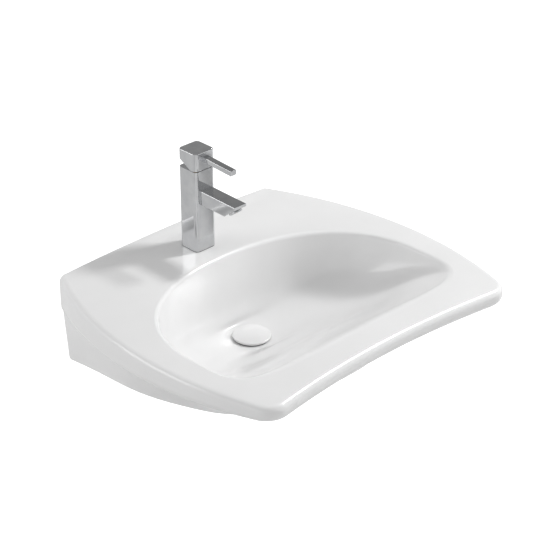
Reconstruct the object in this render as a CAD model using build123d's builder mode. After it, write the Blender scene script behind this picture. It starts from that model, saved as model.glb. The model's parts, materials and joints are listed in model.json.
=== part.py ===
from build123d import *
import math
import os

os.makedirs("parts", exist_ok=True)

# Wall-hung basin with a one-hole mixer tap and a push waste, in millimetres.
# The origin is midway between the two wall fixings, on the wall.
# +X is right, -Y is out of the wall, +Z is up.

# Basin, outer form
deck_height = 74.0          # flat deck above the wall fixings
back_width = 508.0          # across the wall
front_width = 566.0         # across the front corners
basin_depth = 577.0         # wall to the front corners
side_bulge = 62.0           # how far each side curves out
front_hollow = 24.0         # how far the front edge curves in
front_corner_radius = 38.0
rim_front_thickness = 31.0
rim_back_thickness = 67.0
rim_roll = 12.0
rim_under_roll = 15.0
back_edge_rise = 7.0        # raised back edge at its middle
back_edge_end_rise = 0.4    # and at its ends
back_edge_width = 11.0
back_cove = 18.0
back_edge_root = 5.0        # how far the raised edge reaches down into the deck

# Basin, apron under the rim
apron_height = 177.0        # deck to foot at the wall
foot_rise = 0.075           # slope of the foot towards the front
apron_start = 30.0          # deck to the level where the apron grows out of the rim
apron_back_half = 253.0
apron_top_half = 290.0      # half width under the rim, at its widest
apron_top_reach = 512.0
apron_top_full = 1.0        # squareness of its front corners
foot_back_half = 242.0
foot_half = 240.0
foot_reach = 425.0
foot_full = 0.86
foot_roll = 9.0
apron_wall = 10.0
back_wall = 15.0
deck_thickness = 17.0

# Basin, bowl
bowl_half = 271.0
bowl_back = 146.0
bowl_widest = 368.0
bowl_front = 500.0
bowl_front_hollow = 14.0
bowl_depth = 134.0          # deck to the floor round the waste
bowl_wall = 11.0
bowl_lip = 10.0
bowl_flat = 38.5            # radius of the flat round the waste
waste_reach = 223.0         # wall to the waste

# Wall fixings
fixing_spacing = 280.0
fixing_hole = 14.0

# Tap, column and spout
tap_reach = 83.4            # wall to the column's axis
tap_hole = 35.0
gasket_thickness = 1.2
column_side = 46.2
column_height = 157.8
column_corner = 7.5
spout_width = 28.4
spout_thickness = 27.6
spout_length = 90.0
spout_nose = 5.0
spout_slope = 1.0
spout_top = 121.0           # top of the spout above the column's foot
spout_slant_run = 26.7      # length of the slanted face under the nose, seen from above
spout_edge = 1.2
spout_bore = 12.0
waterway_start = 3.0        # end of the spout's bore, in front of the column's axis

# Tap, cartridge
cartridge_diameter = 35.0
chamber_gap = 0.3
chamber_depth = 37.0
nut_thread = 38.0
nut_height = 8.0
key_hole = 2.8              # holes in the nut for its key
key_depth = 3.0
small_chamfer = 0.5
collar_height = 1.8
neck_diameter = 27.0
pivot_drop = 12.0           # stem pivot below the column's top
can_cover = 1.0             # top of the can above the pivot
base_height = 4.8
can_wall = 1.6
neck_wall = 2.4
seal_width = 1.8
seal_height = 1.2
seal_rise = 0.2             # how far the seals lift the cartridge off the chamber's floor
disc_thickness = 4.0
disc_gap = 0.02
fixed_disc_diameter = 29.0
moving_disc_diameter = 23.0
carrier_height = 5.5
carrier_floor = 1.0
turret_flange = 4.7
turret_margin = 2.6
slot_length = 16.5
slot_shift = 0.75
pin_length = 19.0
ball_diameter = 6.0
ball_arm = 7.5
stem_neck = 5.0
collar_drop = 2.5           # top of the cartridge's neck under the column's top
port_diameter = 6.5
port_reach = 8.5
slide_gap = 0.3
pin_diameter = 3.0
pin_clearance = 0.04
stem_side = 8.0
lift_angle = 15.0
turn_angle = 50.0

# Tap, handle
head_side = 46.5
head_height = 33.3
head_corner = 8.0
head_gap = 1.6
head_wall = 4.0
lever_width = 13.2
lever_height = 9.5
lever_length = 73.6
lever_drop = 7.5            # top of the lever under the top of the head
lever_droop = 2.8
lever_seat = 6.0
lever_edge = 0.8
head_top_edge = 1.2
head_relief = 9.0           # where the cut under the head starts, in front of the axis
head_hollow = 11.5
stem_engage = 23.0
head_cut_spare = 12.0       # slope of the cut under the head, beyond the lift
screw_height = 20.5
handle_screw_diameter = 4.0
handle_screw_length = 8.0
handle_screw_socket = 3.0

# Tap, aerator
aerator_thread = 23.6
aerator_rim = 24.4
aerator_stand = 3.5
aerator_depth = 4.5
aerator_washer_height = 1.5
aerator_washer_width = 3.8
aerator_wall = 1.6
aerator_pitch = 2.7
aerator_hole = 1.9
aerator_recess = 0.8

# Tap, fixing
hose_recess_width = 34.0
hose_recess_depth = 22.0
hose_recess_back = 6.0
hose_recess_corner = 4.0
hose_recess_height = 95.0
inlet_thread = 9.0
inlet_depth = 12.0
inlet_spread = 8.5
inlet_back = 5.0
stud_diameter = 8.0
stud_forward = 10.5
stud_grip = 10.0
stud_length = 62.0
horseshoe_diameter = 46.0
horseshoe_slot = 28.0
horseshoe_start = 3.0
horseshoe_gasket_height = 3.0
horseshoe_plate_height = 2.5
nut_across = 11.0
nut_length = 14.0

# Push waste
cover_diameter = 70.0
cover_edge = 4.0
cover_dome = 4.4
cover_round = 1.5
cover_seal_diameter = 50.0
cover_gap = 1.8             # under the cover's edge when shut
flange_diameter = 63.0
flange_thickness = 2.0
flange_gap = 1.0            # round the flange in its seat
seal_thickness = 1.5
waste_hole = 46.0
waste_thread = 41.8
waste_bore = 37.2
flange_mouth = 42.0
mouth_depth = 2.4
body_length = 68.0
boss_diameter = 80.0
boss_drop = 26.0            # floor of the bowl to the seat of the lower seal
press_travel = 8.0
catch_outer = 14.0
catch_inner = 10.0
catch_length = 30.0
catch_floor = 2.0
catch_below = 10.0          # how far the barrel stands out under the cross bar
plunger_height = 6.0
plunger_gap = 0.08
spring_shut = 10.0
spring_wire = 0.9
spring_turns = 6
bar_height = 6.0
bar_drop = 40.0             # top of the flange to the cross bar
bar_width = 5.0
bar_boss = 3.0              # wall of the boss round the barrel
holder_diameter = 39.0
holder_thickness = 3.0
holder_pad = 30.0
holder_pad_height = 1.6
rod_diameter = 6.0
lower_seal_height = 9.0
lower_seal_diameter = 62.0
lower_seal_lip = 5.0
washer_height = 2.0
backnut_height = 11.0
backnut_across = 56.0
tail_diameter = 32.0
tail_wall = 1.6
tail_length = 90.0
tail_collar = 12.0
thread_gap = 0.15

# Basin levels
foot_level = deck_height - apron_height
floor_level = deck_height - bowl_depth
back_half = back_width / 2
front_half = front_width / 2


def rim_outline():
    # closed plan outline of the rim, with the back edge on the wall and rounded front corners
    chord = math.hypot(basin_depth, front_half - back_half)
    lean_x = basin_depth / chord
    lean_y = (front_half - back_half) / chord
    mid_x = (back_half + front_half) / 2 + side_bulge * lean_x
    mid_y = -basin_depth / 2 + side_bulge * lean_y
    with BuildSketch(Plane.XY) as outline:
        with BuildLine():
            Line((-back_half, 0), (back_half, 0))
            ThreePointArc((back_half, 0), (mid_x, mid_y), (front_half, -basin_depth))
            ThreePointArc(
                (front_half, -basin_depth), (0, front_hollow - basin_depth), (-front_half, -basin_depth)
            )
            ThreePointArc((-front_half, -basin_depth), (-mid_x, mid_y), (-back_half, 0))
        make_face()
        fillet(outline.vertices().group_by(Axis.Y)[0], front_corner_radius)
    return outline.sketch


def belly_points(back, side, reach, full, wall):
    # right half of the apron's plan outline, from the wall to the middle of the front;
    # full says how square its front corners are
    return [
        (back - wall, 0),
        ((back + side) / 2 + 0.3 * (side - back) - wall, -0.17 * reach),
        (side - wall, -0.45 * reach),
        ((0.51 + 0.46 * full) * side - wall, -0.70 * reach),
        (0.86 * full * side - wall, -0.89 * reach),
        (0.50 * full * side, -0.985 * reach + wall),
        (0, wall - reach),
    ]


def belly_section(plane, points):
    # one closed section of the apron: straight at the wall and curved round the front
    mirrored = [(-x, y) for x, y in reversed(points[:-1])]
    with BuildSketch(plane) as section:
        with BuildLine():
            Line(mirrored[-1], points[0])
            Spline(*points, *mirrored)
        make_face()
    return section.sketch


def foot_plane(level):
    # plane of the foot: level across, rising towards the front
    return Plane(origin=(0, 0, level), x_dir=(1, 0, 0), z_dir=(0, foot_rise, 1))


def bowl_outline(plane, half, back, front, widest, round_to):
    # D-shaped section of the bowl: an arched back and a squarer, slightly hollow front
    count = 28
    points = []
    for step in range(count):
        angle = 2 * math.pi * step / count
        across = math.cos(angle)
        along = math.sin(angle)
        power = 2.25 if along >= 0 else round_to
        stretch = (abs(across) ** power + abs(along) ** power) ** (-1 / power)
        x = half * across * stretch
        if along >= 0:
            y = -widest + (widest - back) * along * stretch
        else:
            hollow = bowl_front_hollow * (half / bowl_half) * (1 - (x / half) ** 2)
            y = -widest + (front - widest) * along * stretch
            y += hollow * min(1.0, -along * stretch) ** 3
        points.append((x, y))
    with BuildSketch(plane) as section:
        with BuildLine():
            Spline(*points, periodic=True)
        make_face()
    return section.sketch


def bowl_sections(wall):
    # levels of the bowl from above the deck down to the flat round the waste: share of the depth, of the half
    # width, of the way from the waste to the back, to the front and to the widest line, and squareness
    shares = [
        (-0.045, 1.000, 1.005, 1.030, 1.00, 4.6),
        (0.030, 0.994, 0.990, 0.980, 1.00, 4.6),
        (0.254, 0.955, 0.940, 0.800, 0.88, 3.8),
        (0.537, 0.862, 0.870, 0.590, 0.64, 3.0),
        (0.776, 0.680, 0.780, 0.405, 0.38, 2.5),
        (0.925, 0.425, 0.660, 0.235, 0.14, 2.2),
    ]
    faces = []
    for drop, half, back, front, widest, square in shares:
        level = deck_height - drop * bowl_depth - wall * (drop > 0)
        faces.append(bowl_outline(
            Plane.XY.offset(level),
            bowl_half * half + wall,
            waste_reach - back * (waste_reach - bowl_back) - wall,
            waste_reach + front * (bowl_front - waste_reach) + wall,
            waste_reach + widest * (bowl_widest - waste_reach),
            square,
        ))
    low = Plane.XY.offset(floor_level - wall)
    reach = bowl_flat + wall
    faces.append(bowl_outline(low, reach, waste_reach - reach, waste_reach + reach, waste_reach, 2.0))
    return faces


# Rim: the rolled band round the deck
with BuildPart() as rim:
    add(rim_outline())
    extrude(amount=deck_height)
    with BuildSketch(Plane.YZ):
        with BuildLine():
            Polyline(
                (0, -deck_height),
                (0, deck_height - rim_back_thickness),
                (-basin_depth, deck_height - rim_front_thickness),
                (-2 * basin_depth, deck_height - rim_front_thickness),
                (-2 * basin_depth, -deck_height),
                close=True,
            )
        make_face()
    extrude(amount=back_width, both=True, mode=Mode.SUBTRACT)
    top_edges = rim.faces().sort_by(Axis.Z)[-1].edges().filter_by(lambda e: e.center().Y < -1)
    fillet(top_edges, rim_roll)
    low_edges = rim.edges().filter_by(lambda e: e.center().Z < deck_height - rim_front_thickness + 1)
    low_edges = low_edges.filter_by(lambda e: e.center().Y < -1 and abs(e.tangent_at(0.5).Z) < 0.5)
    fillet(low_edges, rim_under_roll)

# Apron: the outside of the belly under the rim
with BuildPart() as belly:
    top_points = belly_points(apron_back_half, apron_top_half, apron_top_reach, apron_top_full, 0)
    low_points = belly_points(foot_back_half, foot_half, foot_reach, foot_full, 0)
    add(belly_section(Plane.XY.offset(deck_height - apron_start), top_points))
    add(belly_section(foot_plane(foot_level), low_points))
    loft()
    foot_edges = belly.faces().sort_by(Axis.Z)[0].edges().filter_by(lambda e: e.center().Y < -1)
    fillet(foot_edges, foot_roll)

# Space inside the bowl
with BuildPart() as bowl_space:
    for face in bowl_sections(0):
        add(face)
    loft()

# Outside of the bowl, under the deck
with BuildPart() as bowl_outside:
    for face in bowl_sections(bowl_wall):
        add(face)
    loft()
    with Locations((0, -waste_reach, floor_level - boss_drop)):
        Cylinder(boss_diameter / 2, boss_drop, align=(Align.CENTER, Align.CENTER, Align.MIN))

# Hollow under the deck, between the aprons, the wall face and the bowl
with BuildPart() as underside:
    top_points = belly_points(apron_back_half, apron_top_half, apron_top_reach, apron_top_full, apron_wall)
    low_points = belly_points(foot_back_half, foot_half, foot_reach, foot_full, apron_wall)
    add(belly_section(Plane.XY.offset(deck_height - deck_thickness), top_points))
    add(belly_section(foot_plane(foot_level - 2), low_points))
    loft()
    Box(2 * back_width, 2 * back_wall, 4 * apron_height, mode=Mode.SUBTRACT)
    add(bowl_outside.part, mode=Mode.SUBTRACT)

# Raised back edge with its cove, highest in the middle
with BuildPart() as back_edge:
    back_edge_half = back_half - rim_roll
    edge_rises = ((-1, back_edge_end_rise), (0, back_edge_rise), (1, back_edge_end_rise))
    for side, rise in edge_rises:
        with BuildSketch(Plane.YZ.offset(side * back_edge_half)):
            with BuildLine():
                Polyline(
                    (-back_edge_width - back_cove, deck_height),
                    (-back_edge_width - back_cove, deck_height - back_edge_root),
                    (0, deck_height - back_edge_root),
                    (0, deck_height + rise),
                    (-back_edge_width, deck_height + rise),
                )
                Spline(
                    (-back_edge_width, deck_height + rise),
                    (-back_edge_width - back_cove, deck_height),
                    tangents=((-1, 0), (-1, 0)),
                )
            make_face()
    loft()

# Basin: one casting of glazed china
waste_seat = floor_level - flange_thickness - seal_thickness
with BuildPart() as basin:
    add(rim.part)
    add(belly.part)
    add(back_edge.part)
    add(underside.part, mode=Mode.SUBTRACT)
    add(bowl_space.part, mode=Mode.SUBTRACT)
    mouth = basin.edges().filter_by(lambda e: e.length > 2 * bowl_half)
    mouth = mouth.filter_by(lambda e: e.bounding_box().max.Y < -back_wall)
    fillet(mouth.filter_by(lambda e: abs(e.bounding_box().min.Z - deck_height) < 0.5), bowl_lip)
    with Locations((0, -waste_reach, floor_level)):
        Cylinder(flange_diameter / 2 + flange_gap, floor_level - waste_seat,
                 align=(Align.CENTER, Align.CENTER, Align.MAX), mode=Mode.SUBTRACT)
        Cylinder(waste_hole / 2, 2 * boss_drop, mode=Mode.SUBTRACT)
    with Locations((0, -tap_reach, deck_height)):
        Cylinder(tap_hole / 2, 4 * deck_thickness, mode=Mode.SUBTRACT)
    with Locations(Plane.XZ):
        with GridLocations(fixing_spacing, 0, 2, 1):
            Cylinder(fixing_hole / 2, 3 * back_wall, mode=Mode.SUBTRACT)

basin.part.label = "basin"
export_step(basin.part, "parts/basin.step")

# Tap levels and places
column_foot = deck_height + gasket_thickness
column_top = column_foot + column_height
chamber_floor = column_top - chamber_depth
pivot_level = column_top - pivot_drop
tap_y = -tap_reach
column_face = tap_y - column_side / 2
spout_tip = column_face - spout_length
root_top = column_foot + spout_top
tip_top = root_top - spout_length * math.tan(math.radians(spout_slope))
slant_start = spout_tip + spout_slant_run
slant_level = root_top - spout_thickness
nose_level = tip_top - spout_nose
slant_angle = math.atan2(nose_level - slant_level, spout_slant_run)
spout_axis = root_top - spout_thickness / 2
outlet = Plane(
    origin=(0, (spout_tip + slant_start) / 2, (nose_level + slant_level) / 2),
    x_dir=(1, 0, 0),
    z_dir=(0, -math.sin(slant_angle), -math.cos(slant_angle)),
)
inlet_level = column_foot + hose_recess_height
inlets = [(-inlet_spread, inlet_back), (inlet_spread, inlet_back)]
ports = inlets + [(0, -port_reach)]
cartridge_radius = cartridge_diameter / 2
neck_radius = neck_diameter / 2
cover_level = pivot_level + can_cover


def tap_plane(level):
    # plane across the column's axis
    return Plane(origin=(0, tap_y, level), x_dir=(1, 0, 0), z_dir=(0, 0, 1))


# Tap body: column and spout in one casting
with BuildPart() as tap_body:
    with BuildSketch(tap_plane(column_foot)):
        RectangleRounded(column_side, column_side, column_corner)
    extrude(amount=column_height)
    with BuildSketch(Plane.YZ.offset(-spout_width / 2)):
        with BuildLine():
            Polyline(
                (tap_y, root_top + (column_side / 2) * math.tan(math.radians(spout_slope))),
                (spout_tip, tip_top),
                (spout_tip, nose_level),
                (slant_start, slant_level),
                (tap_y, slant_level),
                close=True,
            )
        make_face()
    extrude(amount=spout_width)
    spout_edges = tap_body.edges().filter_by(lambda e: e.center().Y < column_face - 1)
    fillet(spout_edges.filter_by(lambda e: abs(e.center().X) > spout_width / 2 - 1), spout_edge)
    with Locations((0, tap_y, column_top)):
        Cylinder(cartridge_radius + chamber_gap, chamber_depth,
                 align=(Align.CENTER, Align.CENTER, Align.MAX), mode=Mode.SUBTRACT)
        Cylinder(nut_thread / 2, column_top - cover_level,
                 align=(Align.CENTER, Align.CENTER, Align.MAX), mode=Mode.SUBTRACT)
    with BuildSketch(tap_plane(column_foot)):
        with Locations((0, hose_recess_back)):
            RectangleRounded(hose_recess_width, hose_recess_depth, hose_recess_corner)
    extrude(amount=hose_recess_height, mode=Mode.SUBTRACT)
    with Locations(tap_plane(inlet_level)):
        with Locations(inlets):
            Cylinder(inlet_thread / 2, inlet_depth,
                     align=(Align.CENTER, Align.CENTER, Align.MIN), mode=Mode.SUBTRACT)
            Cylinder(port_diameter / 2, chamber_floor - inlet_level,
                     align=(Align.CENTER, Align.CENTER, Align.MIN), mode=Mode.SUBTRACT)
    with Locations((0, tap_y - port_reach, chamber_floor)):
        Cylinder(port_diameter / 2, chamber_floor - spout_axis,
                 align=(Align.CENTER, Align.CENTER, Align.MAX), mode=Mode.SUBTRACT)
    with BuildSketch(Plane.XZ.offset(waterway_start - tap_y)):
        with Locations((0, spout_axis)):
            Circle(spout_bore / 2)
    extrude(amount=tap_y - waterway_start - outlet.origin.Y - aerator_depth, mode=Mode.SUBTRACT)
    with Locations(outlet):
        Cylinder(aerator_thread / 2 + thread_gap, 2 * (aerator_depth + aerator_washer_height),
                 mode=Mode.SUBTRACT)
    with Locations((0, tap_y - stud_forward, column_foot)):
        Cylinder(stud_diameter / 2, 2 * stud_grip, mode=Mode.SUBTRACT)

tap_body.part.label = "tap_body"
export_step(tap_body.part, "parts/tap_body.step")

# Base gasket between the column and the deck
with BuildPart() as tap_base_gasket:
    with BuildSketch(tap_plane(deck_height)):
        RectangleRounded(column_side - 1, column_side - 1, column_corner)
        Circle(tap_hole / 2, mode=Mode.SUBTRACT)
    extrude(amount=gasket_thickness)

tap_base_gasket.part.label = "tap_base_gasket"
export_step(tap_base_gasket.part, "parts/tap_base_gasket.step")

# Cartridge, from its seals up to the stem
base_level = chamber_floor + seal_rise
disc_level = base_level + base_height
slider_level = disc_level + disc_thickness + disc_gap
carrier_level = slider_level + disc_thickness
turret_level = carrier_level + carrier_height + slide_gap
can_inner = cartridge_radius - can_wall
turret_neck = neck_radius - neck_wall - slide_gap

with BuildPart() as cartridge_base:
    with BuildSketch(tap_plane(base_level)):
        Circle(cartridge_radius)
        with Locations(ports):
            Circle(port_diameter / 2, mode=Mode.SUBTRACT)
    extrude(amount=base_height)
    with BuildSketch(tap_plane(base_level)):
        with Locations(ports):
            Circle(port_diameter / 2 + seal_width)
    extrude(amount=seal_height - seal_rise, mode=Mode.SUBTRACT)

cartridge_base.part.label = "cartridge_base"
export_step(cartridge_base.part, "parts/cartridge_base.step")

with BuildPart() as cartridge_seals:
    with BuildSketch(tap_plane(chamber_floor)):
        with Locations(ports):
            Circle(port_diameter / 2 + seal_width)
            Circle(port_diameter / 2, mode=Mode.SUBTRACT)
    extrude(amount=seal_height)

cartridge_seals.part.label = "cartridge_seals"
export_step(cartridge_seals.part, "parts/cartridge_seals.step")

with BuildPart() as fixed_disc:
    with BuildSketch(tap_plane(disc_level)):
        Circle(fixed_disc_diameter / 2)
        with Locations(ports):
            Circle(port_diameter / 2, mode=Mode.SUBTRACT)
    extrude(amount=disc_thickness)

fixed_disc.part.label = "fixed_disc"
export_step(fixed_disc.part, "parts/fixed_disc.step")

with BuildPart() as moving_disc:
    with BuildSketch(tap_plane(slider_level)):
        Circle(moving_disc_diameter / 2)
    extrude(amount=disc_thickness)
    with BuildSketch(tap_plane(slider_level)):
        SlotOverall(0.6 * moving_disc_diameter, port_diameter)
    extrude(amount=disc_thickness / 2, mode=Mode.SUBTRACT)

moving_disc.part.label = "moving_disc"
export_step(moving_disc.part, "parts/moving_disc.step")

with BuildPart() as disc_carrier:
    with BuildSketch(tap_plane(carrier_level)):
        Circle(moving_disc_diameter / 2)
    extrude(amount=carrier_height)
    with BuildSketch(tap_plane(carrier_level + carrier_height)):
        Circle(ball_diameter / 2 + slide_gap)
    extrude(amount=carrier_floor - carrier_height, mode=Mode.SUBTRACT)

disc_carrier.part.label = "disc_carrier"
export_step(disc_carrier.part, "parts/disc_carrier.step")

with BuildPart() as turning_ring:
    with BuildSketch(tap_plane(turret_level)):
        Circle(can_inner - slide_gap - turret_margin)
    extrude(amount=turret_flange)
    with BuildSketch(tap_plane(turret_level)):
        Circle(turret_neck)
    extrude(amount=column_top - turret_level - collar_drop)
    with BuildSketch(tap_plane(turret_level)):
        with Locations((0, slot_shift)):
            Rectangle(stem_side + 2 * slide_gap, slot_length)
    extrude(amount=column_top - turret_level, mode=Mode.SUBTRACT)
    with Locations(Plane(origin=(0, tap_y, pivot_level), x_dir=(0, 1, 0), z_dir=(1, 0, 0))):
        Cylinder(pin_diameter / 2, pin_length, mode=Mode.SUBTRACT)

turning_ring.part.label = "turning_ring"
export_step(turning_ring.part, "parts/turning_ring.step")

with BuildPart() as stem_pin:
    with Locations(Plane(origin=(0, tap_y, pivot_level), x_dir=(0, 1, 0), z_dir=(1, 0, 0))):
        Cylinder(pin_diameter / 2, pin_length)

stem_pin.part.label = "stem_pin"
export_step(stem_pin.part, "parts/stem_pin.step")

with BuildPart() as cartridge_housing:
    with BuildSketch(Plane(origin=(0, tap_y, 0), x_dir=(1, 0, 0), z_dir=(0, -1, 0))):
        with BuildLine():
            Polyline(
                (can_inner, disc_level),
                (cartridge_radius, disc_level),
                (cartridge_radius, cover_level),
                (neck_radius, cover_level),
                (neck_radius, column_top - collar_drop),
                (neck_radius - neck_wall, column_top - collar_drop),
                (neck_radius - neck_wall, turret_level + turret_flange + slide_gap),
                (can_inner, turret_level + turret_flange + slide_gap),
                close=True,
            )
        make_face()
    revolve(axis=Axis((0, tap_y, 0), (0, 0, 1)))

cartridge_housing.part.label = "cartridge_housing"
export_step(cartridge_housing.part, "parts/cartridge_housing.step")

ball_level = pivot_level - ball_arm
head_level = column_top + head_gap
head_top = head_level + head_height
stem_top = head_level + stem_engage
with BuildPart() as cartridge_stem:
    with BuildSketch(tap_plane(pivot_level - stem_side / 2)):
        Rectangle(stem_side, stem_side)
    extrude(amount=stem_top - pivot_level + stem_side / 2)
    with Locations((0, tap_y, ball_level)):
        Cylinder(stem_neck / 2, ball_arm, align=(Align.CENTER, Align.CENTER, Align.MIN))
        Sphere(ball_diameter / 2)
    with Locations(Plane(origin=(0, tap_y, pivot_level), x_dir=(0, 1, 0), z_dir=(1, 0, 0))):
        Cylinder(pin_diameter / 2 + pin_clearance, 2 * stem_side, mode=Mode.SUBTRACT)

cartridge_stem.part.label = "cartridge_stem"
export_step(cartridge_stem.part, "parts/cartridge_stem.step")

with BuildPart() as cartridge_nut:
    with BuildSketch(tap_plane(cover_level)):
        Circle(nut_thread / 2 - thread_gap)
        Circle(neck_radius + slide_gap, mode=Mode.SUBTRACT)
    extrude(amount=nut_height)
    with BuildSketch(tap_plane(cover_level + nut_height)):
        with PolarLocations((nut_thread / 2 + neck_radius) / 2, 6):
            Circle(key_hole / 2)
    extrude(amount=-key_depth, mode=Mode.SUBTRACT)

cartridge_nut.part.label = "cartridge_nut"
export_step(cartridge_nut.part, "parts/cartridge_nut.step")

with BuildPart() as collar_ring:
    with BuildSketch(tap_plane(cover_level + nut_height)):
        Circle(nut_thread / 2 - thread_gap)
        Circle(neck_radius + slide_gap, mode=Mode.SUBTRACT)
    extrude(amount=collar_height)
    chamfer(collar_ring.faces().sort_by(Axis.Z)[-1].edges(), small_chamfer)

collar_ring.part.label = "collar_ring"
export_step(collar_ring.part, "parts/collar_ring.step")

# Lever: a square bar that droops a little, seated in the head
lever_plane = Plane(
    origin=(0, tap_y - head_side / 2, head_top - lever_drop - lever_height / 2),
    x_dir=(1, 0, 0),
    z_dir=(0, -math.cos(math.radians(lever_droop)), -math.sin(math.radians(lever_droop))),
)
with BuildPart() as lever_bar:
    with BuildSketch(lever_plane.offset(-lever_seat)):
        Rectangle(lever_width, lever_height)
    extrude(amount=lever_seat + lever_length)
    fillet(lever_bar.faces().sort_by(Axis.Y)[0].edges(), lever_edge)

lever_bar.part.label = "lever_bar"
export_step(lever_bar.part, "parts/lever_bar.step")

# Head: square cap, cut away behind so that it clears the column when it tilts back
rear_y = tap_y + head_side / 2 + 1
rear_foot = head_level + (rear_y - tap_y + head_relief) * math.tan(math.radians(lift_angle + head_cut_spare))
screw_plane = Plane(origin=(0, tap_y, head_level + screw_height), x_dir=(1, 0, 0), z_dir=(0, 1, 0))
with BuildPart() as handle_head:
    with BuildSketch(tap_plane(head_level)):
        RectangleRounded(head_side, head_side, head_corner)
    extrude(amount=head_height)
    fillet(handle_head.faces().sort_by(Axis.Z)[-1].edges(), head_top_edge)
    with BuildSketch(Plane.YZ):
        with BuildLine():
            Polyline(
                (rear_y, rear_foot),
                (rear_y, head_level - 1),
                (tap_y - head_side, head_level - 1),
                (tap_y - head_side, head_level),
                (tap_y - head_relief, head_level),
                close=True,
            )
        make_face()
    extrude(amount=head_side, both=True, mode=Mode.SUBTRACT)
    with BuildSketch(tap_plane(head_level)):
        RectangleRounded(head_side - 2 * head_wall, head_side - 2 * head_wall, head_corner - head_wall)
    extrude(amount=head_hollow, mode=Mode.SUBTRACT)
    with BuildSketch(tap_plane(head_level)):
        Rectangle(stem_side, stem_side)
    extrude(amount=stem_engage, mode=Mode.SUBTRACT)
    add(lever_bar.part, mode=Mode.SUBTRACT)
    with Locations(screw_plane):
        Cylinder(handle_screw_diameter / 2, head_side,
                 align=(Align.CENTER, Align.CENTER, Align.MIN), mode=Mode.SUBTRACT)

handle_head.part.label = "handle_head"
export_step(handle_head.part, "parts/handle_head.step")

with BuildPart() as handle_screw:
    with BuildSketch(screw_plane.offset(stem_side / 2)):
        Circle(handle_screw_diameter / 2)
    extrude(amount=handle_screw_length)
    with BuildSketch(screw_plane.offset(stem_side / 2 + handle_screw_length)):
        RegularPolygon(handle_screw_diameter / 4, 6)
    extrude(amount=-handle_screw_socket, mode=Mode.SUBTRACT)

handle_screw.part.label = "handle_screw"
export_step(handle_screw.part, "parts/handle_screw.step")

# Aerator, square to the slanted face under the nose
with BuildPart() as aerator_housing:
    with BuildSketch(outlet.offset(-aerator_depth)):
        Circle(aerator_thread / 2)
    extrude(amount=aerator_depth)
    with BuildSketch(outlet):
        Circle(aerator_rim / 2)
    extrude(amount=aerator_stand)
    rings = aerator_housing.edges().filter_by(GeomType.CIRCLE)
    chamfer(rings.sort_by(Axis(outlet.origin, outlet.z_dir))[-1], small_chamfer)
    with BuildSketch(outlet.offset(-aerator_depth)):
        Circle(aerator_thread / 2 - aerator_wall)
    extrude(amount=aerator_depth + aerator_stand, mode=Mode.SUBTRACT)

aerator_housing.part.label = "aerator_housing"
export_step(aerator_housing.part, "parts/aerator_housing.step")

with BuildPart() as aerator_insert:
    with BuildSketch(outlet.offset(-aerator_depth)):
        Circle(aerator_thread / 2 - aerator_wall)
        for ring_number in range(1, 4):
            with PolarLocations(ring_number * aerator_pitch, 6 * ring_number):
                Circle(aerator_hole / 2, mode=Mode.SUBTRACT)
        Circle(aerator_hole / 2, mode=Mode.SUBTRACT)
    extrude(amount=aerator_depth + aerator_stand - aerator_recess)

aerator_insert.part.label = "aerator_insert"
export_step(aerator_insert.part, "parts/aerator_insert.step")

with BuildPart() as aerator_washer:
    with BuildSketch(outlet.offset(-aerator_depth - aerator_washer_height)):
        Circle(aerator_thread / 2)
        Circle(aerator_thread / 2 - aerator_washer_width, mode=Mode.SUBTRACT)
    extrude(amount=aerator_washer_height)

aerator_washer.part.label = "aerator_washer"
export_step(aerator_washer.part, "parts/aerator_washer.step")

# Fixing under the deck
with BuildPart() as fixing_stud:
    with Locations((0, tap_y - stud_forward, column_foot + stud_grip)):
        Cylinder(stud_diameter / 2, stud_length, align=(Align.CENTER, Align.CENTER, Align.MAX))
    chamfer(fixing_stud.edges(), small_chamfer)

fixing_stud.part.label = "fixing_stud"
export_step(fixing_stud.part, "parts/fixing_stud.step")


def horseshoe(level, height):
    # a round pad, open at the back for the supply hoses
    with BuildSketch(tap_plane(level)) as pad:
        Circle(horseshoe_diameter / 2)
        with Locations((0, horseshoe_diameter / 2 - horseshoe_start)):
            Rectangle(horseshoe_slot, horseshoe_diameter, mode=Mode.SUBTRACT)
        with Locations((0, -stud_forward)):
            Circle(stud_diameter / 2 + slide_gap, mode=Mode.SUBTRACT)
    return extrude(pad.sketch, amount=height)


under_deck = deck_height - deck_thickness
with BuildPart() as horseshoe_gasket:
    add(horseshoe(under_deck - horseshoe_gasket_height, horseshoe_gasket_height))

horseshoe_gasket.part.label = "horseshoe_gasket"
export_step(horseshoe_gasket.part, "parts/horseshoe_gasket.step")

plate_level = under_deck - horseshoe_gasket_height - horseshoe_plate_height
with BuildPart() as horseshoe_plate:
    add(horseshoe(plate_level, horseshoe_plate_height))

horseshoe_plate.part.label = "horseshoe_plate"
export_step(horseshoe_plate.part, "parts/horseshoe_plate.step")

with BuildPart() as fixing_nut:
    with BuildSketch(tap_plane(plate_level - nut_length)):
        with Locations((0, -stud_forward)):
            RegularPolygon(nut_across / 2, 6, major_radius=False)
            Circle(stud_diameter / 2, mode=Mode.SUBTRACT)
    extrude(amount=nut_length)

fixing_nut.part.label = "fixing_nut"
export_step(fixing_nut.part, "parts/fixing_nut.step")

# Push waste: levels and planes
waste_y = -waste_reach
cover_foot = floor_level + cover_gap
body_end = floor_level - body_length
seat_level = floor_level - boss_drop
catch_foot = floor_level - bar_drop - bar_height - catch_below
catch_top = catch_foot + catch_length
plunger_level = catch_foot + catch_floor + spring_shut


def waste_plane(level):
    # plane across the waste's axis
    return Plane(origin=(0, waste_y, level), x_dir=(1, 0, 0), z_dir=(0, 0, 1))


waste_section = Plane(origin=(0, waste_y, 0), x_dir=(1, 0, 0), z_dir=(0, -1, 0))
waste_axis = Axis((0, waste_y, 0), (0, 0, 1))

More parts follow.
